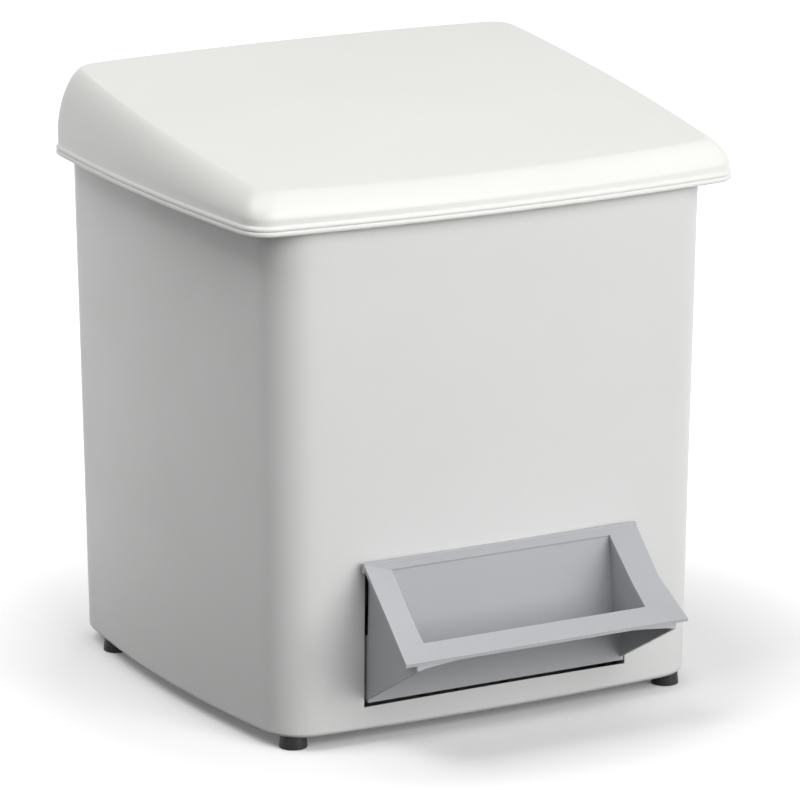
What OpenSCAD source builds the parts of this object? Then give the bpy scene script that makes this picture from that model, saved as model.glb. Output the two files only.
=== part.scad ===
// Pedal bin with a lift-out bucket, a scoop pedal and a rod linkage to the lid.
// Front is -Y, up is +Z. The origin is on the floor, in the middle of the whole outline.

/* [Body] */
// Width of the body at its top edge
body_w = 300; // [290:1:310]
// Depth of the body at its top edge
body_d = 288; // [284:1:296]
// Height of the body shell, without the feet
body_h = 296.5; // [290:0.5:310]
// How much each wall leans in from the top edge to the bottom edge
draft = 4; // [2:0.5:5]
// Wall thickness of the body
wall = 2.5; // [2:0.5:3]
// Radius of the upright corners
corner_r = 26; // [22:1:30]
// How far the side walls bulge out
side_bow = 7; // [4:0.5:8]
// How far the front and back walls bulge out
front_bow = 4; // [3:0.5:4.5]

/* [Feet] */
// Height of a foot
foot_h = 7.5; // [5:0.5:10]
// Radius of a foot
foot_r = 8.2; // [7:0.1:9]

/* [Lid] */
// Half the width of the lid at its rim
lid_half_w = 164; // [160:1:168]
// Front edge of the rim, measured from the middle of the body
lid_front = 152; // [150:1:156]
// Back edge of the rim, measured from the middle of the body
lid_back = 128; // [126:1:128]
// Height of the lid above its rim at the front
lid_front_h = 20.5; // [19:0.5:24]
// Height of the lid above its rim at the back
lid_back_h = 55; // [50:1:60]
// Wall thickness of the lid
lid_wall = 2.5; // [2:0.5:3]
// How far the lid opens, in degrees
lid_open = 72; // [60:1:72]

/* [Pedal] */
// Half the width of the pedal's sloping frame
pedal_half_w = 91; // [88:0.5:93]
// Reach of the tread in front of the flange
pedal_reach = 54; // [48:1:58]
// Height of the top edge of the pedal above the bottom of the shell
pedal_top = 101.5; // [101:0.5:104]
// Drop of the frame from its top edge to the tread
pedal_drop = 44; // [40:1:48]
// How far the pedal turns, in degrees
pedal_turn = 24; // [20:1:24]

/* [Linkage] */
// Distance from the lid's hinge axis to the crank pin
lid_crank_r = 28; // [26:0.5:28]
// Distance from the pedal's axis to its link pin
link_r = 30; // [28:0.5:30]

/* [Hidden] */

white = [0.93, 0.93, 0.91];
grey = [0.72, 0.72, 0.73];
black = [0.08, 0.08, 0.08];
steel = [0.70, 0.71, 0.73];
zinc = [0.78, 0.78, 0.76];

$fn = 48;
fit = 0.03;         // radial play of a fixed pin
run_fit = 0.05;     // radial play of a turning pin
eps = 0.01;

// Pedal, measured in the side plane (y, z) from the middle of the body and the shell's bottom
face_y = -body_d / 2 + 5.8;     // wall's outer face beside the pedal
flange_y = -body_d / 2 + 2.4;   // back of the flange, just in front of the wall's middle
plate = 2.5;                    // thickness of the pedal's walls
gusset_x = 85;                  // outer face of the gussets
open_x = 86.5;                  // half width of the hole in the front wall
open_z = [16, 99.5];            // bottom and top of the hole in the front wall
pivot = [face_y + 7.7, 23];     // axis of the pedal
pivot_r = 3;
panel_low = [face_y - 1.3, 17.3]; // bottom edge of the back panel's front face
flange_front = flange_y - plate;
panel_high = [flange_front + 1.2, 97.6];
tread_tip = [flange_front - pedal_reach, pedal_top - pedal_drop];
under = [0, 0.9, -plate];       // from the frame's top surface to its underside

// Links from the pedal to the rocker behind it
link_lean = 26;                 // backward lean of both link arms when the pedal is up
link_pin_r = 2.5;
link_t = 4;                     // thickness of a pull rod
link_x = 90;                    // inner face of a pull rod
ear_t = 3.5;
ear_r = 4.5;
link_vec = link_r * [sin(link_lean), cos(link_lean)];

// Lid hinge, crank, push rod and rocker
rim_z = body_h + 0.5;
hinge = [lid_back + 6, rim_z + 4];
hinge_r = 2.5;
knuckle_r = 5;
crank = hinge + lid_crank_r * [-cos(lid_open / 2), -sin(lid_open / 2)];
rod_lift = 2 * lid_crank_r * sin(lid_open / 2);
crank_screw_z = [11, 20];       // above the rim
crank_sway = lid_crank_r * (1 - cos(lid_open / 2));
rod_y = crank[0] - crank_sway / 2;
rod_r = 3;
lift_r = rod_lift / (2 * sin(pedal_turn / 2));
rocker = [rod_y - lift_r * (1 + cos(pedal_turn / 2)) / 2, 26.5];
shaft_r = 4;
lift_tip_r = 6;
lift_tip = rocker + lift_r * [cos(pedal_turn / 2), -sin(pedal_turn / 2)];
foot_plate_z = lift_tip[1] + lift_tip_r + 0.3;
slot_play = 0.65;
head_h = 2 * (link_pin_r + slot_play) + 6;
head_l = crank_sway + 2 * (link_pin_r + slot_play) + 6;
head_t = 6;

// Ledge under the bucket's rim, and the bucket
ledge_z = body_h - 7;
ledge_t = 3;
ledge_in = 12;
deck_y = 121;
bucket_floor = 64;
bucket_back = 95;
rim_t = 3;
bail_y = -18;
bail_x = 134;
bail_r = 2;
bail_len = 104;
bail_z = ledge_z + ledge_t + rim_t + 4;
bail_turn_r = 22;

// The whole outline is centred on the origin
y_shift = (-tread_tip[0] - body_d / 2) / 2;
foot_front = [124, -122];
foot_rear = [132, 92];
guide_z = [78, 228];
pad_y = 135.5;                  // flat pads on the back wall that carry the rod guides
floor_t = 3;

module in_body() {
    translate([0, y_shift, foot_h])
        children();
}

// ---- Outlines and lofted shells ----

function arc(c, r, start, n = 6) =
    [for (i = [0 : n]) c + r * [cos(start + 90 * i / n), sin(start + 90 * i / n)]];

function bulge(p, q, out, bow, n = 6) =
    [for (i = [1 : n - 1]) let (t = i / n) p * (1 - t) + q * t + out * bow * 4 * t * (1 - t)];

// Rounded rectangle with bulging sides; half width, front y and back y are at mid-side.
function outline(half_w, front, back, side, fore, aft, r) =
    let (cx = half_w - side - r, cf = front + fore + r, cb = back - aft - r)
    concat(
        arc([cx, cf], r, -90), bulge([cx + r, cf], [cx + r, cb], [1, 0], side),
        arc([cx, cb], r, 0), bulge([cx, cb + r], [-cx, cb + r], [0, 1], aft),
        arc([-cx, cb], r, 90), bulge([-cx - r, cb], [-cx - r, cf], [-1, 0], side),
        arc([-cx, cf], r, 180), bulge([-cx, cf - r], [cx, cf - r], [0, -1], fore));

function body_outline(z, inset) =
    let (k = draft * (1 - z / body_h) + inset)
    outline(body_w / 2 - k, -body_d / 2 + k, body_d / 2 - k, side_bow, front_bow, front_bow,
        max(corner_r - inset, 3));

function bucket_outline(z, inset) =
    let (k = 10 * (1 - (z - bucket_floor) / (ledge_z - bucket_floor)) + inset)
    outline(body_w / 2 - 16 - k, -body_d / 2 + 16 + k, bucket_back - k, side_bow, front_bow, 3, 18);

// Middle of the back wall's thickness at a height
function back_wall_y(z) = body_d / 2 - draft * (1 - z / body_h) - wall / 2 - 0.3;

function flat_ring(points, z) = [for (p = points) [p[0], p[1], z]];

// Closed solid through a list of rings that all have the same number of points.
module loft(rings) {
    n = len(rings[0]);
    last = len(rings) - 1;
    mid = [for (k = [0, last]) [for (a = [0 : 2]) [for (p = rings[k]) 1] * [for (p = rings[k]) p[a]] / n]];
    points = concat([for (r = rings) each r], mid);
    sides = [for (k = [0 : last - 1]) for (i = [0 : n - 1])
        let (j = (i + 1) % n, a = k * n + i, b = k * n + j, c = a + n, d = b + n)
        each [[a, c, b], [b, c, d]]];
    first_cap = [for (i = [0 : n - 1]) [i, (i + 1) % n, len(points) - 2]];
    last_cap = [for (i = [0 : n - 1]) [last * n + (i + 1) % n, last * n + i, len(points) - 1]];
    polyhedron(points, concat(sides, first_cap, last_cap), convexity = 10);
}

// Cylinder along X between two x values, at (y, z)
module x_rod(x1, x2, p, r) {
    translate([min(x1, x2), p[0], p[1]])
        rotate([0, 90, 0])
            cylinder(h = abs(x2 - x1), r = r);
}

// Plate of a side profile (y, z) between two x values
module x_plate(x1, x2, profile) {
    translate([min(x1, x2), 0, 0])
        rotate([90, 0, 90])
            linear_extrude(abs(x2 - x1))
                polygon(profile);
}

// Flat link between two points of the side plane, with round ends
module x_link(x1, x2, p, q, r_p, r_q) {
    side = [-(q - p)[1], (q - p)[0]] / norm(q - p);
    x_rod(x1, x2, p, r_p);
    x_rod(x1, x2, q, r_q);
    x_plate(x1, x2, [p + side * r_p, p - side * r_p, q - side * r_q, q + side * r_q]);
}

module box(lo, hi) {
    translate(lo)
        cube(hi - lo);
}

// Countersunk-style screw pointing down -Z with its head's underside at z = 0
module screw(length, r = 1.6, head_r = 3.2, head_h = 2) {
    translate([0, 0, -length])
        cylinder(h = length + eps, r = r);
    difference() {
        cylinder(h = head_h, r = head_r);
        for (a = [0, 90])
            rotate([0, 0, a])
                translate([-head_r * 0.65, -0.4, head_h - 1])
                    cube([head_r * 1.3, 0.8, 2]);
    }
}

// ---- Body ----

module body_shell() {
    color(white) in_body() difference() {
        union() {
            loft([
                flat_ring(body_outline(0, 3), 0),
                flat_ring(body_outline(0.9, 0.9), 0.9),
                flat_ring(body_outline(3, 0), 3),
                flat_ring(body_outline(body_h, 0), body_h),
                flat_ring(body_outline(body_h, wall), body_h),
                flat_ring(body_outline(floor_t, wall), floor_t)
            ]);
            ledge();
            for (z = guide_z)
                box([-14, pad_y, z - 11], [14, back_wall_y(z), z + 11]);
        }
        box([-open_x, -body_d, open_z[0]], [open_x, face_y + 8, open_z[1]]);
        x_plate(-open_x, open_x, [
            [-body_d / 2 + 3, open_z[0] + 1], [-body_d / 2 + 3, open_z[0]],
            [-body_d / 2 + 10, open_z[0] - 3.7], [-body_d / 2 + 10, open_z[0] + 1]
        ]);
        for (x = [-1, 1]) {
            translate([x * foot_front[0], foot_front[1], -eps])
                cylinder(h = 4, r = 2.1);
            translate([x * foot_rear[0], foot_rear[1], -eps])
                cylinder(h = 4, r = 2.1);
        }
    }
}

// Shelf round the inside of the top edge, wide at the back where the hinges stand
module ledge() {
    translate([0, 0, ledge_z])
        linear_extrude(ledge_t)
            difference() {
                polygon(body_outline(ledge_z, wall - 0.5));
                intersection() {
                    polygon(body_outline(ledge_z, ledge_in));
                    translate([-body_w, -body_d])
                        square([2 * body_w, body_d + deck_y]);
                }
            }
}

module foot(p) {
    color(black) in_body() translate([p[0], p[1], -foot_h]) difference() {
        cylinder(h = foot_h, r1 = foot_r, r2 = foot_r - 0.7);
        translate([0, 0, 2])
            cylinder(h = foot_h, r = 2);
    }
}

module foot_front_left() { foot([-foot_front[0], foot_front[1]]); }
module foot_front_right() { foot(foot_front); }
module foot_rear_left() { foot([-foot_rear[0], foot_rear[1]]); }
module foot_rear_right() { foot(foot_rear); }

module foot_screws() {
    color(zinc) in_body()
        for (x = [-1, 1], p = [foot_front, foot_rear])
            translate([x * p[0], p[1], floor_t])
                screw(7.5, 2 - fit, 4);
}

// ---- Bucket ----

module inner_bucket() {
    rim_z1 = ledge_z + ledge_t;
    color(grey) in_body() difference() {
        union() {
            loft([
                flat_ring(bucket_outline(bucket_floor, 4), bucket_floor),
                flat_ring(bucket_outline(bucket_floor, 1.2), bucket_floor + 1.2),
                flat_ring(bucket_outline(bucket_floor, 0), bucket_floor + 4),
                flat_ring(bucket_outline(rim_z1, 0), rim_z1),
                flat_ring(rim_outline(), rim_z1),
                flat_ring(rim_outline(), rim_z1 + rim_t),
                flat_ring(bucket_outline(rim_z1, 2.5), rim_z1 + rim_t),
                flat_ring(bucket_outline(bucket_floor, 2.5), bucket_floor + 4.5),
                flat_ring(bucket_outline(bucket_floor, 5), bucket_floor + 2.5)
            ]);
            for (x = [-1, 1])
                x_link(x * 137, x * 140.5, [bail_y, rim_z1 + 2], [bail_y, bail_z], 2, 5);
        }
        for (x = [-1, 1])
            x_rod(x * 136, x * 142, [bail_y, bail_z], bail_r + run_fit);
    }
}

function rim_outline() =
    outline(body_w / 2 - 5.5, -body_d / 2 + 5.5, bucket_back + 3, side_bow, front_bow, 3, 20);

module bucket_bail() {
    back = bail_y + bail_len;
    color(steel) in_body() translate([0, 0, bail_z]) {
        for (x = [-1, 1]) {
            x_rod(x * bail_x, x * 143, [bail_y, 0], bail_r);
            translate([x * bail_x, bail_y, 0])
                sphere(r = bail_r);
            translate([x * bail_x, bail_y, 0])
                rotate([-90, 0, 0])
                    cylinder(h = bail_len - bail_turn_r, r = bail_r);
            translate([x * (bail_x - bail_turn_r), back - bail_turn_r, 0])
                rotate([0, 0, x > 0 ? 0 : 90])
                    rotate_extrude(angle = 90)
                        translate([bail_turn_r, 0])
                            circle(r = bail_r);
        }
        x_rod(-bail_x + bail_turn_r, bail_x - bail_turn_r, [back, 0], bail_r);
    }
}

module bail_grip() {
    color(grey) in_body() difference() {
        x_rod(-45, 45, [bail_y + bail_len, bail_z], 6);
        x_rod(-50, 50, [bail_y + bail_len, bail_z], bail_r + fit);
    }
}

// ---- Pedal ----

// Cross-sections of the sloping frame's right half, from the flange to the front corner.
// Each one runs outer top, inner top, inner underside, outer underside.
function frame_rings() =
    let (mid = [flange_front - 0.49 * pedal_reach, pedal_top - 0.58 * pedal_drop],
        mid_in = [flange_front - 0.445 * pedal_reach, pedal_top - 0.62 * pedal_drop],
        outer = [
            [pedal_half_w - 1.5, flange_front + 0.9, pedal_top - 0.2],
            [pedal_half_w - 1.8, mid[0], mid[1]],
            [pedal_half_w + 1.3, tread_tip[0], tread_tip[1]]
        ],
        inner = [
            [72, flange_front + 0.9, pedal_top - 5],
            [72.5, mid_in[0], mid_in[1]],
            [72.8, tread_tip[0] + 15.1, tread_tip[1] + 5.5]
        ])
    [for (i = [0 : 2]) [outer[i], inner[i], inner[i] + under, outer[i] + (i < 2 ? under : [0, 0.3, -2.1])]];

function mirrored(ring) = [for (p = ring) [-p[0], p[1], p[2]]];

module pedal_frame() {
    right = frame_rings();
    loft(concat(right, [for (i = [2 : -1 : 0]) mirrored(right[i])]));
}

// Trough behind the tread: two upright sides and a sloping bottom
module pedal_trough() {
    mid_in = frame_rings()[1][1];
    side = [
        [72.8, flange_front + 1.9, pedal_top - 6.5],
        [73.2, mid_in[1] + 0.4, mid_in[2] - 1.3],
        [73.6, tread_tip[0] + 15.2, tread_tip[1] + 4.4],
        [73.7, tread_tip[0] + 14.7, tread_tip[1] + 2.5],
        [77.5, panel_low[0] - 0.2, 40.6]
    ];
    for (s = [-1, 1])
        scale([s, 1, 1])
            loft([side, [for (p = side) p + [2, 0, 0]]]);
    base = [
        [-74.4, tread_tip[0] + 13.8, tread_tip[1] + 1.9],
        [74.4, tread_tip[0] + 13.8, tread_tip[1] + 1.9],
        [78.4, panel_low[0] - 0.4, 39.6],
        [-78.4, panel_low[0] - 0.4, 39.6]
    ];
    loft([base, [for (p = base) p + [0, 0, 2]]]);
}

// Short lip that hangs from each end of the tread's front edge
module tread_lip(s) {
    edge = [[84.6, -1.1], [84.6, -5.6], [79, -4.4], [75, -3.9], [65, -2.9], [56, -2.3], [54, -1.1]];
    translate([0, tread_tip[0] + 2.7, tread_tip[1]])
        rotate([90, 0, 0])
            linear_extrude(2)
                polygon([for (p = edge) [s * p[0], p[1]]]);
}

// Side profile of one triangular side, with its web behind the panel up to the link ear
function gusset_profile() =
    let (mid = [flange_front - 0.468 * pedal_reach, pedal_top - 0.625 * pedal_drop])
    [
        [pivot[0] + 3, 18],
        [panel_low[0] + 1.4, 18.8],
        tread_tip + [2.6, -6.4],
        tread_tip + [1.1, -5.2],
        tread_tip + [1, -1.3],
        tread_tip + [6.9, 1],
        mid,
        [flange_front + 0.8, pedal_top - 3.3],
        panel_high + [1.4, -0.8],
        [panel_low[0] - 0.4, (pivot + link_vec)[1] + 8],
        pivot + link_vec
    ];

module pedal_scoop() {
    ear = pivot + link_vec;
    inner_x = gusset_x - plate;
    ear_x = gusset_x + ear_t;
    flange_w = pedal_half_w - 1.2;
    color(grey) in_body() difference() {
        union() {
            // Flange in front of the wall and the back panel under it
            box([-flange_w, flange_front, panel_high[1] - 1.6], [flange_w, flange_y, pedal_top]);
            x_plate(-gusset_x + 0.4, gusset_x - 0.4,
                [panel_low, panel_low + [plate, 0], panel_high + [plate, 0], panel_high]);
            pedal_frame();
            pedal_trough();
            // Triangular sides, front lips and the ears behind the wall
            for (x = [-1, 1]) {
                tread_lip(x);
                x_plate(x * inner_x, x * gusset_x, gusset_profile());
                x_link(x * (inner_x + 0.5), x * ear_x, pivot, ear, ear_r, ear_r);
            }
        }
        for (x = [-1, 1]) {
            x_rod(x * inner_x, x * (ear_x + 1), pivot, pivot_r + fit);
            x_rod(x * (inner_x - 1), x * (ear_x + 1), ear, link_pin_r + fit);
        }
    }
}

module pedal_pivot(x) {
    color(steel) in_body() {
        x_rod(x * (gusset_x - plate), x * 101, pivot, pivot_r);
        x_rod(x * 100.4, x * 102, pivot, pivot_r + 0.4);
    }
}

module pedal_pivot_left() { pedal_pivot(-1); }
module pedal_pivot_right() { pedal_pivot(1); }

// Headed pins at the ends of the pull rods
module link_pins(p, inner) {
    color(zinc) in_body()
        for (x = [-1, 1]) {
            x_rod(x * inner, x * (link_x + link_t + 1), p, link_pin_r);
            x_rod(x * (link_x + link_t + 0.5), x * (link_x + link_t + 2), p, link_pin_r + 1.2);
            x_rod(x * (inner - 1.5), x * inner, p, link_pin_r + 1.2);
        }
}

module front_link_pins() { link_pins(pivot + link_vec, gusset_x - plate); }
module rear_link_pins() { link_pins(rocker + link_vec, gusset_x); }

// Bearing block on the floor, from x1 outwards to x2
module bearing(x1, x2, axis, r) {
    front = axis[0] - r - 0.6;
    x = [min(x1, x2), max(x1, x2)];
    color(grey) in_body() difference() {
        union() {
            box([x[0], front, floor_t], [x[1], axis[0] + r + 3, axis[1]]);
            intersection() {
                x_rod(x1, x2, axis, r + 4);
                box([x[0], front, axis[1] - 1], [x[1], axis[0] + r + 3, axis[1] + r + 4]);
            }
            box([x[0], front, floor_t], [x[1], axis[0] + 20, floor_t + 3]);
        }
        x_rod(x[0] - 1, x[1] + 1, axis, r + run_fit);
        translate([(x1 + x2) / 2, axis[0] + 14, 0])
            cylinder(h = 20, r = 1.6 + fit);
    }
}

module pedal_bearing_left() { bearing(-90, -100, pivot, pivot_r); }
module pedal_bearing_right() { bearing(90, 100, pivot, pivot_r); }

module pull_rod(x) {
    front = pivot + link_vec;
    rear = rocker + link_vec;
    color(steel) in_body() difference() {
        x_link(x * link_x, x * (link_x + link_t), front, rear, 5, 5);
        x_rod(x * 80, x * 100, front, link_pin_r + run_fit);
        x_rod(x * 80, x * 100, rear, link_pin_r + 0.3);
    }
}

module pull_rod_left() { pull_rod(-1); }
module pull_rod_right() { pull_rod(1); }

// ---- Rocker ----

module rocker_shaft() {
    color(steel) in_body()
        x_rod(-112, 112, rocker, shaft_r);
}

module rocker_crank(x) {
    color(steel) in_body() difference() {
        x_link(x * gusset_x, x * (gusset_x + ear_t), rocker, rocker + link_vec, 7, 5);
        x_rod(x * 80, x * 100, rocker, shaft_r + fit);
        x_rod(x * 80, x * 100, rocker + link_vec, link_pin_r + fit);
    }
}

module rocker_crank_left() { rocker_crank(-1); }
module rocker_crank_right() { rocker_crank(1); }

module lift_arm() {
    color(steel) in_body() difference() {
        union() {
            x_link(-3, 3, rocker, lift_tip, 7, lift_tip_r / 2);
            x_rod(-6, 6, lift_tip, lift_tip_r);
            x_rod(-8, 8, rocker, 7);
        }
        x_rod(-20, 20, rocker, shaft_r + fit);
    }
}

module rocker_bearing_left() { bearing(-98, -108, rocker, shaft_r); }
module rocker_bearing_right() { bearing(98, 108, rocker, shaft_r); }

module bearing_screws() {
    color(zinc) in_body()
        for (x = [-1, 1]) {
            translate([x * 95, pivot[0] + 14, floor_t + 3])
                screw(3);
            translate([x * 103, rocker[0] + 14, floor_t + 3])
                screw(3);
        }
}

// ---- Push rod ----

module push_rod() {
    top = crank[1] - head_h / 2;
    color(steel) in_body()
        translate([0, rod_y, foot_plate_z + 4])
            cylinder(h = top - foot_plate_z - 4, r = rod_r);
}

module rod_foot() {
    color(grey) in_body()
        translate([0, rod_y, foot_plate_z]) {
            cylinder(h = 4, r = 8);
            translate([0, 0, 4 - eps])
                difference() {
                    cylinder(h = 8, r = 5.5);
                    translate([0, 0, -1])
                        cylinder(h = 12, r = rod_r + fit);
                }
        }
}

module rod_head() {
    half = head_l / 2;
    play = link_pin_r + slot_play;
    color(grey) in_body() translate([0, rod_y, crank[1]]) difference() {
        union() {
            box([-head_t / 2, -half, -head_h / 2], [head_t / 2, half, head_h / 2]);
            translate([0, 0, -head_h / 2 - 10])
                difference() {
                    cylinder(h = 10 + eps, r = 5);
                    translate([0, 0, -1])
                        cylinder(h = 11, r = rod_r + fit);
                }
        }
        box([-head_t, -crank_sway / 2, -play], [head_t, crank_sway / 2, play]);
        for (y = [-1, 1])
            x_rod(-head_t, head_t, [y * crank_sway / 2, 0], play);
    }
}

module rod_guide(z) {
    color(grey) in_body() difference() {
        union() {
            box([-7, rod_y - 6.5, z - 4], [7, pad_y - 1, z + 4]);
            box([-14, pad_y - 3, z - 10], [14, pad_y, z + 10]);
        }
        translate([0, rod_y, z - 10])
            cylinder(h = 20, r = rod_r + run_fit);
        for (x = [-1, 1])
            translate([x * 10.5, 140, z])
                rotate([90, 0, 0])
                    cylinder(h = 20, r = 1.6 + fit);
    }
}

module rod_guide_lower() { rod_guide(guide_z[0]); }
module rod_guide_upper() { rod_guide(guide_z[1]); }

module guide_screws() {
    color(zinc) in_body()
        for (x = [-1, 1], z = guide_z)
            translate([x * 10.5, pad_y - 3, z])
                rotate([90, 0, 0])
                    screw(3);
}

// ---- Lid ----

function lid_height(y) =
    lid_front_h + (lid_back_h - lid_front_h) * (y + lid_front) / (lid_front + lid_back);

lid_bead = 1;
lid_band = 5.5;
lid_fillet = 12.3;
lid_crown = 4;
lid_curve = 1.27;

function lid_outline(inset) =
    outline(lid_half_w - inset, -lid_front + inset, lid_back - inset, 5, 8, 5, max(17 - inset * 0.3, 6));

// Ring at an inset, at a share of the height above the band, lowered by drop
function lid_ring(inset, share, drop, crown = 0) =
    [for (p = lid_outline(inset))
        [p[0], p[1], rim_z + lid_band + (lid_height(p[1]) - lid_band) * share - drop + crown]];

// The wall leans in ever faster and turns over into the roof.
function lid_rings(t) = concat(
    [for (a = [0 : 15 : 90])
        lid_ring(lid_bead + t + lid_fillet * (1 - pow(cos(a), lid_curve)),
            0.23 + 0.77 * pow(sin(a), lid_curve), t)],
    [for (u = [0.25, 0.55, 0.85])
        lid_ring(lid_bead + t + lid_fillet + u * 110, 1, t, lid_crown * (1 - pow(1 - u, 2)))]);

function reversed(list) = [for (i = [len(list) - 1 : -1 : 0]) list[i]];

module lid_shell() {
    inner = lid_bead + lid_wall;
    color(white) in_body() difference() {
        union() {
            loft(concat(
                reversed(lid_rings(lid_wall)),
                [flat_ring(lid_outline(inner), rim_z + lid_band),
                 flat_ring(lid_outline(inner), rim_z),
                 flat_ring(lid_outline(0.7), rim_z),
                 flat_ring(lid_outline(0), rim_z + 0.9),
                 flat_ring(lid_outline(0), rim_z + lid_band - 1.2),
                 flat_ring(lid_outline(lid_bead), rim_z + lid_band)],
                lid_rings(0)));
            for (x = [-1, 1]) {
                x_rod(x * 65, x * 75, hinge, knuckle_r);
                box([x * 70 - 5, lid_back - 5.5, hinge[1] - 1], [x * 70 + 5, hinge[0], hinge[1] + 5]);
                translate([x * 100, -133, rim_z + 2.5])
                    cylinder(h = lid_height(-133) - 4, r = 4.5);
            }
        }
        for (x = [-1, 1])
            x_rod(x * 60, x * 80, hinge, hinge_r + run_fit);
        for (z = crank_screw_z)
            translate([0, lid_back + 5, rim_z + z])
                rotate([90, 0, 0])
                    cylinder(h = 16, r = 1.6 + fit);
    }
}

module lid_buffers() {
    color(black) in_body()
        for (x = [-1, 1])
            translate([x * 100, -133, rim_z - 1.3])
                cylinder(h = 3.8, r = 5);
}

module lid_crank() {
    y2 = lid_back - lid_bead - lid_wall - 1.7;
    y1 = y2 - 2.5;
    color(zinc) in_body() difference() {
        union() {
            box([-9, y1, rim_z + 6], [9, y2, rim_z + 25]);
            for (x = [-1, 1]) {
                x_rod(x * 4, x * 7, crank, 5);
                x_plate(x * 4, x * 7, [
                    crank + [4.8, -1.4], [y2, rim_z + 6], [y2, rim_z + 25],
                    [y1 - 3, rim_z + 25], crank + [-4.8, 1.4]
                ]);
            }
        }
        x_rod(-10, 10, crank, link_pin_r + fit);
        for (z = crank_screw_z)
            translate([0, lid_back + 5, rim_z + z])
                rotate([90, 0, 0])
                    cylinder(h = 20, r = 1.6 + fit);
    }
}

module crank_pin() {
    color(steel) in_body() {
        x_rod(-8, 8, crank, link_pin_r);
        for (x = [-1, 1])
            x_rod(x * 7.2, x * 8.7, crank, link_pin_r + 1.2);
    }
}

module crank_screws() {
    color(zinc) in_body()
        for (z = crank_screw_z)
            translate([0, lid_back - lid_bead + 0.1, rim_z + z])
                rotate([-90, 0, 0])
                    screw(7);
}

// ---- Hinges ----

module hinge_bracket(x) {
    base = ledge_z + ledge_t;
    color(zinc) in_body() difference() {
        union() {
            box([min(x * 52, x * 88), hinge[0] - 5, base], [max(x * 52, x * 88), hinge[0] + 5, base + 2]);
            for (c = [60, 76])
                x_link(x * c, x * (c + 4), [hinge[0], base + 4], hinge, 4, 5);
        }
        x_rod(x * 50, x * 90, hinge, hinge_r + fit);
        for (c = [56, 84])
            translate([x * c, hinge[0], 200])
                cylinder(h = 200, r = 1.6 + fit);
    }
}

module hinge_bracket_left() { hinge_bracket(-1); }
module hinge_bracket_right() { hinge_bracket(1); }

module hinge_pins() {
    color(steel) in_body()
        for (x = [-1, 1]) {
            x_rod(x * 59, x * 81, hinge, hinge_r);
            x_rod(x * 80.2, x * 82, hinge, hinge_r + 1.2);
        }
}

module hinge_screws() {
    color(zinc) in_body()
        for (x = [-1, 1], c = [56, 84])
            translate([x * c, hinge[0], ledge_z + ledge_t + 2])
                screw(2);
}

body_shell();
foot_front_left();
foot_front_right();
foot_rear_left();
foot_rear_right();
foot_screws();
inner_bucket();
bucket_bail();
bail_grip();
pedal_scoop();
pedal_pivot_left();
pedal_pivot_right();
front_link_pins();
pedal_bearing_left();
pedal_bearing_right();
pull_rod_left();
pull_rod_right();
rocker_shaft();
rocker_crank_left();
rocker_crank_right();
lift_arm();
rear_link_pins();
rocker_bearing_left();
rocker_bearing_right();
bearing_screws();
push_rod();
rod_foot();
rod_head();
rod_guide_lower();
rod_guide_upper();
guide_screws();
lid_shell();
lid_buffers();
lid_crank();
crank_pin();
crank_screws();
hinge_bracket_left();
hinge_bracket_right();
hinge_pins();
hinge_screws();
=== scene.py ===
import math

import bmesh
import bpy
import numpy as np
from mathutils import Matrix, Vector


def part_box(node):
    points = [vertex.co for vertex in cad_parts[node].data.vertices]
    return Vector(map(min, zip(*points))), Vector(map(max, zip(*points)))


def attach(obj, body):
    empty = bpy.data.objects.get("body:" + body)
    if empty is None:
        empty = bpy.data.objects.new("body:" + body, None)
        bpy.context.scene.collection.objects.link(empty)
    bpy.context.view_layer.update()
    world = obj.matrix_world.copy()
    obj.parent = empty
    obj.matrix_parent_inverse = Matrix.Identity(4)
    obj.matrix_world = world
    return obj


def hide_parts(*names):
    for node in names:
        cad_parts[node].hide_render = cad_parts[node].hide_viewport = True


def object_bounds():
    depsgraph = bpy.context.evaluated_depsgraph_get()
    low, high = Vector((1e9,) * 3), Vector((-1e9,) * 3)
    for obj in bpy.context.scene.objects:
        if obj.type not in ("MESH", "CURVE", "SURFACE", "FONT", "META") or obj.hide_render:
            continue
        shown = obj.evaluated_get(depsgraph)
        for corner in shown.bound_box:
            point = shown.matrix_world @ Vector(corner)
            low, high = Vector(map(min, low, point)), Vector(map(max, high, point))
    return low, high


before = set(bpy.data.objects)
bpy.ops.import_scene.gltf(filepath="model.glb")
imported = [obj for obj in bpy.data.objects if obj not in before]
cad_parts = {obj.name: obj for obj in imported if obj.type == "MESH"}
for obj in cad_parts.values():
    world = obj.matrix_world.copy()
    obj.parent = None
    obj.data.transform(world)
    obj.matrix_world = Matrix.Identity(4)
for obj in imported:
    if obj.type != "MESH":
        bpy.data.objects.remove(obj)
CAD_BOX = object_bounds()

MM = 0.001
ARC = 12            # steps round a corner of an outline
SIDE = 36           # steps along a side of an outline
SHARP = math.radians(38)
WELD_DISTANCE = 2e-6
FLAT_ANGLE = math.radians(0.6)

# Sizes that the frame gives, in mm. The shapes below are measured from the middle of
# the body and from the shell's bottom edge, and place() puts them in the frame.
SHELL_LO, SHELL_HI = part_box("body_shell")
LID_LO, LID_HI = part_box("lid_shell")
CENTRE_Y = (SHELL_LO.y + SHELL_HI.y) / 2
BASE_Z = SHELL_LO.z
HALF_W = (SHELL_HI.x - SHELL_LO.x) / 2 / MM
HALF_D = (SHELL_HI.y - SHELL_LO.y) / 2 / MM
BODY_H = (SHELL_HI.z - SHELL_LO.z) / MM


def rel(point):
    """A point of the frame in mm from the body's middle and bottom edge."""
    return np.array([point[0], point[1] - CENTRE_Y, point[2] - BASE_Z]) / MM


def rel_box(node):
    """The two corners of a node's box, measured as in rel()."""
    return tuple(rel(corner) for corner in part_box(node))


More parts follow.
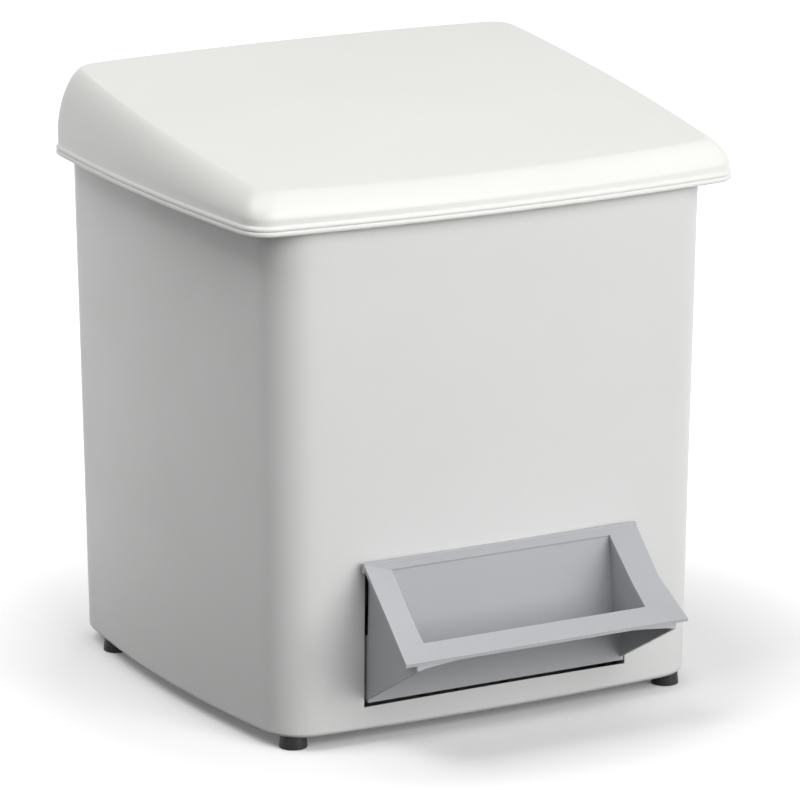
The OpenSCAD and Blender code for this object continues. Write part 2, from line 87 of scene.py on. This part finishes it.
def place(points):
    """Points measured as in rel(), back in the frame's metres."""
    return np.asarray(points, float) * MM + (0, CENTRE_Y, BASE_Z)


# ---- Mesh helpers ----

def new_object(name, verts, faces, placed=False):
    """Object from vertices in mm measured as in rel(), or in the frame's metres if placed."""
    mesh = bpy.data.meshes.new(name)
    mesh.from_pydata([tuple(v) for v in (verts if placed else place(verts))], [], faces)
    mesh.validate()
    obj = bpy.data.objects.new(name, mesh)
    bpy.context.scene.collection.objects.link(obj)
    return obj


def smooth(obj):
    obj.data.shade_smooth()
    obj.data.set_sharp_from_angle(angle=SHARP)
    return obj


def apply_modifiers(obj):
    graph = bpy.context.evaluated_depsgraph_get()
    mesh = bpy.data.meshes.new_from_object(obj.evaluated_get(graph))
    obj.modifiers.clear()
    old, obj.data = obj.data, mesh
    bpy.data.meshes.remove(old)
    mesh.name = obj.name
    return obj


def boolean(obj, tool, operation):
    """Join a tool to an object or cut it away, and delete the tool."""
    mod = obj.modifiers.new("cut", "BOOLEAN")
    mod.object, mod.operation, mod.solver = tool, operation, "EXACT"
    apply_modifiers(obj)
    mesh = tool.data
    bpy.data.objects.remove(tool)
    bpy.data.meshes.remove(mesh)
    return obj


def bevel(obj, width, segments=3, angle=SHARP):
    mod = obj.modifiers.new("edges", "BEVEL")
    mod.width, mod.segments = width * MM, segments
    mod.limit_method, mod.angle_limit = "ANGLE", angle
    mod.use_clamp_overlap = True
    mod.harden_normals = False


def weighted(obj):
    mod = obj.modifiers.new("normals", "WEIGHTED_NORMAL")
    mod.weight = 60
    mod.keep_sharp = True


def loft(name, rings, centre_cap=False):
    """Closed solid through rings that all have the same number of points."""
    count = len(rings[0])
    verts = np.concatenate(rings)
    faces = []
    for k in range(len(rings) - 1):
        for i in range(count):
            j = (i + 1) % count
            a, b = k * count, (k + 1) * count
            faces.append((a + i, a + j, b + j, b + i))
    last = (len(rings) - 1) * count
    if centre_cap:
        verts = np.concatenate([verts, rings[0].mean(0)[None], rings[-1].mean(0)[None]])
        low, high = len(verts) - 2, len(verts) - 1
        faces += [((i + 1) % count, i, low) for i in range(count)]
        faces += [(last + i, last + (i + 1) % count, high) for i in range(count)]
    else:
        faces.append(tuple(range(count - 1, -1, -1)))
        faces.append(tuple(range(last, last + count)))
    return new_object(name, verts, faces)


def box_object(name, lo, hi):
    verts = [(x, y, z) for x in (lo[0], hi[0]) for y in (lo[1], hi[1]) for z in (lo[2], hi[2])]
    faces = [(0, 1, 3, 2), (4, 6, 7, 5), (0, 4, 5, 1), (2, 3, 7, 6), (0, 2, 6, 4), (1, 5, 7, 3)]
    return new_object(name, verts, faces)


def turned(name, centre, axis, profile, count=48):
    """Solid turned about an axis through centre, from a profile of (distance along, radius)."""
    x, y, z = (1, 0, 0), (0, 1, 0), (0, 0, 1)
    along, u, v = {"x": (x, y, z), "y": (y, z, x), "z": (z, x, y)}[axis]
    angles = np.linspace(0, 2 * math.pi, count, endpoint=False)
    circle = np.outer(np.cos(angles), u) + np.outer(np.sin(angles), v)
    rings = [np.array(centre) + np.array(along) * d + circle * max(r, 1e-3) for d, r in profile]
    return loft(name, rings)


def extruded(name, profile, x1, x2):
    """Solid between two x values with a side profile of (y, z) points."""
    count = len(profile)
    verts = [(x, y, z) for x in (min(x1, x2), max(x1, x2)) for y, z in profile]
    area = sum(p[0] * q[1] - q[0] * p[1] for p, q in zip(profile, profile[1:] + profile[:1]))
    faces = [(i, (i + 1) % count, (i + 1) % count + count, i + count) for i in range(count)]
    faces += [tuple(range(count - 1, -1, -1)), tuple(range(count, 2 * count))]
    if area > 0:
        return new_object(name, verts, faces)
    return new_object(name, verts, [f[::-1] for f in faces])


# ---- Outlines ----

def outline(half_w, front, back, side, fore, aft, r):
    """Rounded rectangle with bulging sides, counter-clockwise from the front right corner."""
    cx, cf, cb = half_w - side - r, front + fore + r, back - aft - r
    arcs = []
    for (x, y), start in zip(((cx, cf), (cx, cb), (-cx, cb), (-cx, cf)), (-90, 0, 90, 180)):
        a = np.radians(start + np.linspace(0, 90, ARC + 1))
        arcs.append(np.stack([x + r * np.cos(a), y + r * np.sin(a)], 1))
    t = np.arange(1, SIDE)[:, None] / SIDE
    loop = []
    for k, out in enumerate(((side, 0), (0, aft), (-side, 0), (0, -fore))):
        p, q = arcs[k][-1], arcs[(k + 1) % 4][0]
        loop += [arcs[k], p * (1 - t) + q * t + np.array(out) * 4 * t * (1 - t)]
    loop = np.concatenate(loop)
    for _ in range(2):
        loop = (np.roll(loop, 1, 0) + 2 * loop + np.roll(loop, -1, 0)) / 4
    return loop


def at(loop, z):
    return np.column_stack([loop, np.full(len(loop), z) if np.isscalar(z) else z])


def round_steps(start, end, count):
    return np.radians(np.linspace(start, end, count))


# ---- Body shell ----

DRAFT, WALL, CORNER_R, SIDE_BOW, FRONT_BOW = 4, 2.5, 26, 7, 4
FLOOR_T, LEDGE_T, LEDGE_IN, DECK_Y = 3, 3, 12, 121
LEDGE_Z = BODY_H - 7
LEDGE_EDGE = 0.8    # radius on the ledge's inner edge
HOLE_HALF_W = 86.5
PEDAL_HOLE = ((-HOLE_HALF_W, -160, 16), (HOLE_HALF_W, -130.4, 99.5))
FOOT_HOLE_R = 2.1
GUIDE_PAD_HALF_W, GUIDE_PAD_HALF_H = 14, 11
# The hole's bottom slopes down inwards, so that the pedal's panel can swing past it
SILL = ((-141, 17), (-141, 16), (-134, 12.3), (-134, 17))


def body_loop(z, inset):
    k = DRAFT * (1 - z / BODY_H) + inset
    radius = max(CORNER_R - inset, 3)
    return outline(HALF_W - k, -HALF_D + k, HALF_D - k, SIDE_BOW, FRONT_BOW, FRONT_BOW, radius)


def body_ring(inset, z):
    return at(body_loop(z, inset), z)


def ledge_ring(inset, z):
    loop = body_loop(LEDGE_Z, inset)
    loop[:, 1] = np.minimum(loop[:, 1], DECK_Y)
    return at(loop, z)


def make_body():
    lip = WALL / 2
    rings = [body_ring(3 - 3 * math.sin(a), 3 - 3 * math.cos(a)) for a in round_steps(0, 90, 9)]
    rings += [body_ring(0, z) for z in np.linspace(3, BODY_H - lip, 14)[1:-1]]
    rings += [body_ring(lip - lip * math.cos(a), BODY_H - lip + lip * math.sin(a))
              for a in round_steps(0, 180, 9)]
    rings += [body_ring(WALL, LEDGE_Z + LEDGE_T)]
    edge, ledge_top = LEDGE_EDGE, LEDGE_Z + LEDGE_T
    rings += [ledge_ring(LEDGE_IN - edge + edge * math.sin(a), ledge_top - edge + edge * math.cos(a))
              for a in round_steps(0, 90, 4)]
    rings += [ledge_ring(LEDGE_IN, LEDGE_Z), body_ring(WALL, LEDGE_Z)]
    rings += [body_ring(WALL, z) for z in np.linspace(LEDGE_Z, FLOOR_T + 4, 14)[1:-1]]
    rings += [body_ring(WALL + 4 - 4 * math.cos(a), FLOOR_T + 4 - 4 * math.sin(a))
              for a in round_steps(0, 90, 6)]
    body = loft("body_moulding", rings)
    hole = box_object("hole", *PEDAL_HOLE)
    soften = hole.modifiers.new("r", "BEVEL")
    soften.width, soften.segments, soften.limit_method = 1.6 * MM, 4, "ANGLE"
    boolean(body, apply_modifiers(hole), "DIFFERENCE")
    boolean(body, extruded("sill", list(SILL), -HOLE_HALF_W, HOLE_HALF_W), "DIFFERENCE")
    for node in ("foot_front_left", "foot_front_right", "foot_rear_left", "foot_rear_right"):
        lo, hi = rel_box(node)
        centre = ((lo[0] + hi[0]) / 2, (lo[1] + hi[1]) / 2, -1)
        drill = turned("hole", centre, "z", ((0, FOOT_HOLE_R), (6, FOOT_HOLE_R)), 24)
        boolean(body, drill, "DIFFERENCE")
    for node in ("rod_guide_lower", "rod_guide_upper"):
        lo, hi = rel_box(node)
        z = (lo[2] + hi[2]) / 2
        wall_y = HALF_D - DRAFT * (1 - z / BODY_H) - WALL / 2 - 0.3
        half_w, half_h = GUIDE_PAD_HALF_W, GUIDE_PAD_HALF_H
        pad = box_object("pad", (-half_w, hi[1], z - half_h), (half_w, wall_y, z + half_h))
        boolean(body, pad, "UNION")
    bevel(body, 0.5, 2, math.radians(50))
    return body


# ---- Lid ----

LID_HALF_W = (LID_HI.x - LID_LO.x) / 2 / MM
LID_FRONT, LID_BACK = 152, 128
LID_FRONT_H, LID_BACK_H = 20.5, 55
LID_BEAD, LID_BAND, LID_FILLET, LID_CROWN, LID_WALL = 1.0, 5.5, 12.3, 3.6, 2.5
LID_CURVE, LID_TURN = 1.27, 0.23    # shape of the shoulder's curve and where it starts
LID_FLATS = (3, 8, 16, 27, 42, 60, 80, 100, 115)
RIM_Z = BODY_H + 0.5
# Double bead of the rim, from the bottom edge up to the wall: (inset, height)
RIM_BEAD = ((1.1, 0), (0.55, 0.12), (0.18, 0.45), (0.02, 0.95), (0, 1.6), (0.08, 2.15), (0.28, 2.5),
            (0.46, 2.72), (0.52, 2.9), (0.46, 3.08), (0.26, 3.3), (0.1, 3.65), (0.05, 4.1), (0.1, 4.6),
            (0.28, 5.05), (0.52, 5.4), (0.76, 5.7), (0.93, 6.0), (1.0, 6.4))
KNUCKLE_R, KNUCKLE_X, PIN_HOLE_R = 5, (65, 75), 2.55
BOSS_X, BOSS_R = 100, 4.5
CRANK_SCREW_R, CRANK_SCREW_IN = 1.65, 3.2


def lid_loop(inset):
    radius = max(17 - inset * 0.3, 6)
    return outline(LID_HALF_W - inset, -LID_FRONT + inset, LID_BACK - inset, 5, 8, 5, radius)


def lid_height(y):
    """Height of the lid's flat top above its rim, which rises from the front to the back."""
    return LID_FRONT_H + (LID_BACK_H - LID_FRONT_H) * (y + LID_FRONT) / (LID_FRONT + LID_BACK)


def lid_surface(inset, share, drop, crown):
    """Ring at an inset, at a share of the height over the band, with a share of the top's crown."""
    loop = lid_loop(inset)
    x, y = loop.T
    height = lid_height(y)
    u = x / (LID_HALF_W - LID_BEAD - LID_FILLET)
    v = (y + (LID_FRONT - LID_BACK) / 2) / ((LID_FRONT + LID_BACK) / 2 - LID_BEAD - LID_FILLET)
    dome = np.clip(1 - u * u, 0, 1) * np.clip(1 - v * v, 0, 1)
    return at(loop, RIM_Z + LID_BAND + (height - LID_BAND) * share - drop + LID_CROWN * dome * crown)


def lid_side(depth):
    """Rings from the band over the shoulder to the middle, this far below the outer face."""
    rings = []
    if depth == 0:
        rings += [lid_surface(LID_BEAD, share, 0, 0) for share in np.linspace(0.06, LID_TURN, 4)[:-1]]
    for a in round_steps(0, 90, 19):
        lean, rise = max(math.cos(a), 0) ** LID_CURVE, math.sin(a) ** LID_CURVE
        inset, share = LID_BEAD + depth + LID_FILLET * (1 - lean), LID_TURN + (1 - LID_TURN) * rise
        rings.append(lid_surface(inset, share, depth, rise))
    inner = LID_BEAD + depth + LID_FILLET
    rings += [lid_surface(inner + d, 1, depth, 1) for d in LID_FLATS]
    return rings


def make_lid():
    inside = LID_BEAD + LID_WALL
    rings = lid_side(LID_WALL)[::-1]
    rings += [at(lid_loop(inside), RIM_Z + LID_BAND), at(lid_loop(inside), RIM_Z + 0.5)]
    rings += [at(lid_loop(inside - 0.5), RIM_Z)]
    rings += [at(lid_loop(i), RIM_Z + z) for i, z in RIM_BEAD]
    rings += lid_side(0)
    lid = loft("lid_moulding", rings, centre_cap=True)
    pins_lo, pins_hi = rel_box("hinge_pins")
    axis = ((pins_lo[1] + pins_hi[1]) / 2, (pins_lo[2] + pins_hi[2]) / 2)
    buffers_lo, buffers_hi = rel_box("lid_buffers")
    buffer_y = (buffers_lo[1] + buffers_hi[1]) / 2
    top = lid_height(buffer_y)
    knuckle = [(axis[0] + KNUCKLE_R * math.cos(a), axis[1] + KNUCKLE_R * math.sin(a))
               for a in round_steps(-115, 90, 22)]
    knuckle += [(LID_BACK - 5.5, axis[1] + KNUCKLE_R), (LID_BACK - 5.5, axis[1] - 1)]
    for side in (-1, 1):
        boolean(lid, extruded("knuckle", knuckle, *(side * x for x in KNUCKLE_X)), "UNION")
        pin = turned("pin", (side * 70, *axis), "x", ((-8, PIN_HOLE_R), (8, PIN_HOLE_R)), 32)
        boolean(lid, pin, "DIFFERENCE")
        boss = turned("boss", (side * BOSS_X, buffer_y, RIM_Z), "z", ((2.5, BOSS_R), (top - 2, BOSS_R)), 32)
        boolean(lid, boss, "UNION")
    screws_lo, screws_hi = rel_box("crank_screws")
    for z in (screws_lo[2] + CRANK_SCREW_IN, screws_hi[2] - CRANK_SCREW_IN):
        drill = turned("hole", (0, LID_BACK - 14, z), "y", ((0, CRANK_SCREW_R), (20, CRANK_SCREW_R)), 24)
        boolean(lid, drill, "DIFFERENCE")
    return lid


# ---- Bucket ----

BUCKET_FLOOR, BUCKET_BACK, BUCKET_WALL, RIM_T = 64, 95, 2.5, 3
BUCKET_RIM_Z = LEDGE_Z + LEDGE_T
INNER_FLOOR = BUCKET_FLOOR + 6.5
EAR_R, EAR_X, BAIL_HOLE_R = 5, (137, 140.5), 2.05
GRIP_BORE_R, GRIP_RIB_PITCH = 2.1, 11


def bucket_ring(inset, z):
    k = 10 * (1 - (z - BUCKET_FLOOR) / (LEDGE_Z - BUCKET_FLOOR)) + inset
    return at(outline(HALF_W - 16 - k, -HALF_D + 16 + k, BUCKET_BACK - k, SIDE_BOW, FRONT_BOW, 3, 18), z)


def rim_ring(inset, z):
    back = BUCKET_BACK + 3 - inset
    return at(outline(HALF_W - 5.5 - inset, -HALF_D + 5.5 + inset, back, SIDE_BOW, FRONT_BOW, 3, 20 - inset), z)


def make_bucket():
    top = BUCKET_RIM_Z + RIM_T
    rings = [bucket_ring(4 - 4 * math.sin(a), BUCKET_FLOOR + 4 - 4 * math.cos(a))
             for a in round_steps(0, 90, 7)]
    rings += [bucket_ring(0, z) for z in np.linspace(BUCKET_FLOOR + 4, BUCKET_RIM_Z, 10)[1:]]
    rings += [rim_ring(0.4, BUCKET_RIM_Z), rim_ring(0, BUCKET_RIM_Z + 0.4)]
    rings += [rim_ring(1.4 - 1.4 * math.cos(a), top - 1.4 + 1.4 * math.sin(a))
              for a in round_steps(0, 90, 6)]
    rings += [bucket_ring(BUCKET_WALL - 1.2 + 1.2 * math.sin(a), top - 1.2 + 1.2 * math.cos(a))
              for a in round_steps(0, 90, 5)]
    rings += [bucket_ring(BUCKET_WALL, z) for z in np.linspace(top - 1.2, INNER_FLOOR, 12)[1:-1]]
    rings += [bucket_ring(BUCKET_WALL + 4 - 4 * math.cos(a), INNER_FLOOR - 4 * math.sin(a))
              for a in round_steps(0, 90, 7)]
    bucket = loft("bucket_moulding", rings)
    bail_lo, bail_hi = rel_box("bucket_bail")
    y, z = bail_lo[1] + 2, (bail_lo[2] + bail_hi[2]) / 2
    ear = [(y + EAR_R * math.cos(a), z + EAR_R * math.sin(a)) for a in round_steps(-12, 192, 25)]
    ear += [(y - 7, BUCKET_RIM_Z + 1), (y + 7, BUCKET_RIM_Z + 1)]
    for side in (-1, 1):
        boolean(bucket, extruded("ear", ear, *(side * x for x in EAR_X)), "UNION")
        drill = turned("hole", (side * 138.75, y, z), "x", ((-3, BAIL_HOLE_R), (3, BAIL_HOLE_R)), 24)
        boolean(bucket, drill, "DIFFERENCE")
    return bucket


def make_grip():
    lo, hi = rel_box("bail_grip")
    half, r = (hi[0] - lo[0]) / 2, (hi[1] - lo[1]) / 2
    centre = (0, (lo[1] + hi[1]) / 2, (lo[2] + hi[2]) / 2)
    profile = [(-half, GRIP_BORE_R), (-half, r - 1.6), (-half + 0.5, r - 0.7), (-half + 1.6, r)]
    for k in range(-3, 4):
        x = k * GRIP_RIB_PITCH
        profile += [(x - 1.6, r), (x - 0.9, r - 0.35), (x, r - 0.7), (x + 0.9, r - 0.35), (x + 1.6, r)]
    profile += [(half - 1.6, r), (half - 0.5, r - 0.7), (half, r - 1.6), (half, GRIP_BORE_R)]
    profile += [(half, 2.03), (-half, 2.03)]
    angles = np.linspace(0, 2 * math.pi, 48, endpoint=False)
    count, rings = len(profile), len(angles)
    verts = [(centre[0] + d, centre[1] + q * math.cos(a), centre[2] + q * math.sin(a))
             for a in angles for d, q in profile]
    faces = []
    for i in range(rings):
        here, there = i * count, (i + 1) % rings * count
        for k in range(count):
            j = (k + 1) % count
            faces.append((here + k, here + j, there + j, there + k))
    grip = new_object("bail_grip_moulding", verts, faces)
    mesh = bmesh.new()
    mesh.from_mesh(grip.data)
    bmesh.ops.recalc_face_normals(mesh, faces=mesh.faces)
    mesh.to_mesh(grip.data)
    mesh.free()
    return grip


# ---- Materials ----

class Tree:
    """A material's node tree, built with short calls."""

    def __init__(self, name):
        self.material = bpy.data.materials.new(name)
        self.material.use_nodes = True
        self.nodes = self.material.node_tree.nodes
        self.links = self.material.node_tree.links
        self.shader = self.nodes["Principled BSDF"]
        self.space = self.nodes.new("ShaderNodeTexCoord").outputs["Object"]

    def node(self, kind, settings=(), **inputs):
        """New node. Inputs are given by name, or by number as _0, _1 and so on."""
        node = self.nodes.new(kind)
        for key, value in dict(settings).items():
            setattr(node, key, value)
        for key, value in inputs.items():
            socket = node.inputs[int(key[1:])] if key[0] == "_" else node.inputs[key.replace("_", " ").title()]
            if isinstance(value, bpy.types.NodeSocket):
                self.links.new(value, socket)
            else:
                socket.default_value = value
        return node

    def stretched(self, scale):
        return self.node("ShaderNodeMapping", _0=self.space, _3=scale).outputs[0]

    def noise(self, scale, detail=3, rough=0.55, space=None):
        return self.node("ShaderNodeTexNoise", Vector=space or self.space, Scale=scale, Detail=detail,
                         Roughness=rough).outputs["Fac"]

    def ramp(self, value, low, high, to_low=0.0, to_high=1.0):
        return self.node("ShaderNodeMapRange", _0=value, _1=low, _2=high, _3=to_low, _4=to_high).outputs[0]

    def math(self, operation, a, b=0.0):
        return self.node("ShaderNodeMath", {"operation": operation}, _0=a, _1=b).outputs[0]

    def mix(self, factor, a, b, blend="MIX"):
        node = self.node("ShaderNodeMix", {"data_type": "RGBA", "blend_type": blend}, _0=factor, _6=a, _7=b)
        return node.outputs[2]

    def edges(self, radius):
        """1 on outer and inner edges, 0 on flat faces."""
        soft = self.node("ShaderNodeBevel", {"samples": 4}, Radius=radius).outputs[0]
        hard = self.node("ShaderNodeNewGeometry").outputs["Normal"]
        dot = self.node("ShaderNodeVectorMath", {"operation": "DOT_PRODUCT"}, _0=soft, _1=hard).outputs["Value"]
        return self.ramp(dot, 0.995, 0.86)

    def bump(self, height, strength, distance, normal=None):
        extra = {"Normal": normal} if normal is not None else {}
        return self.node("ShaderNodeBump", Height=height, Strength=strength, Distance=distance,
                         **extra).outputs[0]

    def finish(self, colour, roughness, normal):
        self.links.new(colour, self.shader.inputs["Base Color"])
        self.links.new(roughness, self.shader.inputs["Roughness"])
        self.links.new(normal, self.shader.inputs["Normal"])
        return self.material


def shade(colour, factor):
    return tuple(c * factor for c in colour) + (1.0,)


def plastic(name, colour, roughness, grain, grain_depth, edge_wear_and_highlight, ripple=0.0, spread=0.05):
    """Moulded plastic: mottled colour, grain, slight sink ripples, and edges lightened both as rubbed wear and
    as a painted highlight.
    """
    t = Tree(name)
    t.shader.inputs["IOR"].default_value = 1.49
    t.shader.inputs["Specular IOR Level"].default_value = 0.5
    cloud = t.ramp(t.noise(7, 4), 0.3, 0.7)
    speck = t.ramp(t.noise(1400, 2), 0.35, 0.65)
    base = t.mix(cloud, shade(colour, 0.975), shade(colour, 1.012))
    base = t.mix(t.math("MULTIPLY", speck, 0.25), base, shade(colour, 0.95))
    # Edges lighter in the colour: partly rubbed wear, partly a painted highlight on outer and inner edges.
    edge = t.math("MULTIPLY", t.edges(0.0007), t.ramp(t.noise(160, 3), 0.35, 0.65, 0.35, 1.0))
    worn_and_highlit_edge_colour = shade([min(1, c * 1.2 + 0.05) for c in colour], 1.0)
    base = t.mix(t.math("MULTIPLY", edge, edge_wear_and_highlight), base, worn_and_highlit_edge_colour)
    rough = t.ramp(t.noise(24, 3, 0.5), 0.25, 0.75, roughness - spread, roughness + spread)
    rough = t.math("ADD", rough, t.math("MULTIPLY", edge, 0.1))
    normal = t.bump(t.noise(grain, 2, 0.5), grain_depth, 0.00008)
    if ripple:
        normal = t.bump(t.noise(9, 1, 0.4), ripple, 0.002, normal)
    return t.finish(base, rough, normal)


def metal(name, colour, roughness, along, stain, spangle=0.0):
    """Drawn or plated steel: streaks along its length, patches of tone and a painted highlight that brightens
    the edges.
    """
    t = Tree(name)
    t.shader.inputs["Metallic"].default_value = 1.0
    streak = t.noise(1, 4, 0.6, t.stretched(tuple(60 if k == along else 2600 for k in range(3))))
    patch = t.ramp(t.noise(90, 3), 0.3, 0.7)
    base = t.mix(patch, shade(colour, 0.93), shade(colour, 1.04))
    stained = t.math("MULTIPLY", t.ramp(t.noise(33, 5, 0.65), 0.55, 0.75), stain)
    base = t.mix(stained, base, (0.42, 0.36, 0.27, 1))
    if spangle:
        cell = t.node("ShaderNodeTexVoronoi", Vector=t.space, Scale=420.0).outputs["Color"]
        base = t.mix(spangle, base, cell, "SOFT_LIGHT")
    # Painted highlight: the edges are brightened in the colour.
    base = t.mix(t.math("MULTIPLY", t.edges(0.0005), 0.5), base, shade(colour, 1.18))
    rough = t.ramp(streak, 0.25, 0.75, roughness - 0.07, roughness + 0.09)
    rough = t.math("ADD", rough, t.math("MULTIPLY", patch, 0.05))
    return t.finish(base, rough, t.bump(streak, 0.25, 0.00004))


def rubber(name):
    t = Tree(name)
    t.shader.inputs["Specular IOR Level"].default_value = 0.42
    dust = t.ramp(t.noise(420, 4, 0.65), 0.5, 0.72)
    base = t.mix(t.math("MULTIPLY", dust, 0.35), (0.012, 0.012, 0.013, 1), (0.06, 0.058, 0.055, 1))
    # Edges lighter in the colour: partly rubbed wear, partly a painted highlight.
    base = t.mix(t.math("MULTIPLY", t.edges(0.0006), 0.3), base, (0.07, 0.07, 0.07, 1))
    rough = t.ramp(t.noise(260, 3), 0.3, 0.7, 0.32, 0.52)
    return t.finish(base, rough, t.bump(t.noise(1500, 2), 0.3, 0.00008))


WHITE_FINISH = dict(roughness=0.35, grain=1500, grain_depth=0.10, edge_wear_and_highlight=0.25, ripple=0.012, spread=0.045)
GREY_FINISH = dict(roughness=0.42, grain=2200, grain_depth=0.35, edge_wear_and_highlight=0.55, ripple=0.01, spread=0.06)
BUCKET_FINISH = dict(roughness=0.42, grain=2000, grain_depth=0.3, edge_wear_and_highlight=0.4, ripple=0.02, spread=0.06)
BEARING_FINISH = dict(roughness=0.36, grain=2400, grain_depth=0.15, edge_wear_and_highlight=0.3)
MATERIALS = {
    "white_plastic": plastic("white_plastic_look", (0.738, 0.742, 0.732), **WHITE_FINISH),
    "grey_plastic": plastic("grey_plastic_look", (0.475, 0.482, 0.50), **GREY_FINISH),
    "bucket_plastic": plastic("bucket_plastic_look", (0.36, 0.37, 0.38), **BUCKET_FINISH),
    "bearing_plastic": plastic("bearing_plastic_look", (0.72, 0.715, 0.69), **BEARING_FINISH),
    "black_rubber": rubber("black_rubber_look"),
    "bright_steel": metal("bright_steel_look", (0.62, 0.63, 0.645), 0.37, 0, 0.12),
    "zinc_steel": metal("zinc_steel_look", (0.64, 0.645, 0.63), 0.42, 1, 0.2, 0.35),
}
# Painted light: the lid is the same white plastic as the body, and gets a lighter, warmer copy of the body's
# white that stands in for the light falling on the lid
LIT_LID_COPY_LOOK = plastic("white_lid_lit_copy_look", (0.845, 0.84, 0.815), **WHITE_FINISH)


# ---- Pieces ----

NODE_SLOT = {name: obj.data.materials[0].name for name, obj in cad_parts.items()}
REPLACED = {
    "body_shell": (make_body, "body"),
    "lid_shell": (make_lid, "lid"),
    "inner_bucket": (make_bucket, "body"),
    "bail_grip": (make_grip, "bail"),
}
EDGE_WIDTH = {"pedal_scoop": 0.9}    # bevel of a CAD node's edges in mm, 0.3 where none is given

for node, (make, body) in REPLACED.items():
    piece = smooth(make())
    weighted(piece)
    slot = NODE_SLOT[node]
    piece.data.materials.clear()
    piece.data.materials.append(LIT_LID_COPY_LOOK if node == "lid_shell" else MATERIALS[slot])
    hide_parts(node)
    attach(piece, body)

for node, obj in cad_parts.items():
    if node in REPLACED:
        continue
    for mark in ("custom_normal", "sharp_edge", "sharp_face"):
        if mark in obj.data.attributes:
            obj.data.attributes.remove(obj.data.attributes[mark])
    obj.data.materials[0] = MATERIALS[NODE_SLOT[node]]
    obj.data.shade_smooth()
    weld = obj.modifiers.new("weld", "WELD")
    weld.merge_threshold = WELD_DISTANCE
    flat = obj.modifiers.new("flat", "DECIMATE")
    flat.decimate_type, flat.angle_limit = "DISSOLVE", FLAT_ANGLE
    bevel(obj, EDGE_WIDTH.get(node, 0.3), 3 if node in EDGE_WIDTH else 2)
    weighted(obj)


# ---- Floor, light and camera ----

LO, HI = CAD_BOX
MIDDLE = (LO + HI) / 2
LIGHT_DISTANCE, LIGHT_SIZE = 2.6, 1.5


def toward(azimuth, elevation):
    """Direction out from the object. Azimuth 0 is in front of it and 90 to its right."""
    a, e = math.radians(azimuth), math.radians(elevation)
    return Vector((math.sin(a) * math.cos(e), -math.cos(a) * math.cos(e), math.sin(e)))


def stand(obj, target, azimuth, elevation, distance):
    """Put a lamp or camera at a distance from the target, facing it."""
    bpy.context.scene.collection.objects.link(obj)
    back = toward(azimuth, elevation)
    obj.location = target + back * distance
    obj.rotation_mode = "QUATERNION"
    obj.rotation_quaternion = back.to_track_quat("Z", "Y")


def make_floor(radius=40.0, count=96):
    angles = np.linspace(0, 2 * math.pi, count, endpoint=False)
    verts = [(radius * math.cos(a), radius * math.sin(a), -0.0002) for a in angles]
    floor = new_object("floor", verts, [tuple(range(count))], placed=True)
    t = Tree("floor_look")
    base = t.mix(t.ramp(t.noise(3, 3), 0.3, 0.7), (0.93, 0.93, 0.93, 1), (0.96, 0.96, 0.96, 1))
    t.finish(base, t.ramp(t.noise(40, 3), 0.3, 0.7, 0.75, 0.85), t.bump(t.noise(900, 2), 0.05, 0.0001))
    t.shader.inputs["Specular IOR Level"].default_value = 0.1
    # Painted light: the floor glows, dim next to the object and brighter away from it, so a painted shadow
    # rings the object's base
    glow_distance = t.node("ShaderNodeVectorMath", {"operation": "LENGTH"}, _0=t.space).outputs["Value"]
    t.shader.inputs["Emission Color"].default_value = (1, 1, 1, 1)
    t.links.new(t.ramp(glow_distance, 0.2, 0.42, 0.09, 0.66), t.shader.inputs["Emission Strength"])
    floor.data.materials.append(t.material)
    floor.visible_diffuse = False


def make_world(low, level, high):
    """Soft studio surround, brightest at the horizon and dimmer to the object's left."""
    world = bpy.data.worlds.new("studio")
    bpy.context.scene.world = world
    world.use_nodes = True
    nodes, links = world.node_tree.nodes, world.node_tree.links
    split = nodes.new("ShaderNodeSeparateXYZ")
    links.new(nodes.new("ShaderNodeTexCoord").outputs["Generated"], split.inputs[0])
    height = nodes.new("ShaderNodeMapRange")
    height.inputs[1].default_value, height.inputs[2].default_value = -1, 1
    links.new(split.outputs["Z"], height.inputs[0])
    ramp = nodes.new("ShaderNodeValToRGB")
    links.new(height.outputs[0], ramp.inputs[0])
    points = ramp.color_ramp.elements
    points[0].position, points[0].color = 0.42, (low, low, low, 1)
    points[1].position, points[1].color = 0.54, (level, level, level, 1)
    points.new(1.0).color = (high, high, high, 1)
    side = nodes.new("ShaderNodeMapRange")
    for k, value in enumerate((-1, 0.3, 0.42, 1.0), 1):
        side.inputs[k].default_value = value
    links.new(split.outputs["X"], side.inputs[0])
    links.new(ramp.outputs[0], nodes["Background"].inputs["Color"])
    links.new(side.outputs[0], nodes["Background"].inputs["Strength"])


def area_light(name, azimuth, elevation, power, glossy=True):
    """Square light that faces the object."""
    data = bpy.data.lights.new(name, "AREA")
    data.shape, data.size, data.energy = "SQUARE", LIGHT_SIZE, power
    lamp = bpy.data.objects.new(name, data)
    lamp.visible_glossy = glossy
    stand(lamp, MIDDLE, azimuth, elevation, LIGHT_DISTANCE)


def make_camera(azimuth, elevation, distance, lens, target):
    data = bpy.data.cameras.new("camera")
    data.lens, data.sensor_width = lens, 36.0
    data.clip_start, data.clip_end = 0.05, 50
    camera = bpy.data.objects.new("camera", data)
    stand(camera, target, azimuth, elevation, distance)
    bpy.context.scene.camera = camera


make_floor()
make_world(0.02, 1.04, 0.08)
area_light("key", 5, 36, 26)
area_light("front", 28, 12, 22)
area_light("left_top", -95, 62, 26)
area_light("back", 200, 20, 9, glossy=False)
make_camera(-28.725, 14.89, 3.2128, 243.85, MIDDLE + Vector((0.00946, 0.02186, -0.01881)))
bpy.context.scene.view_settings.view_transform = "Standard"
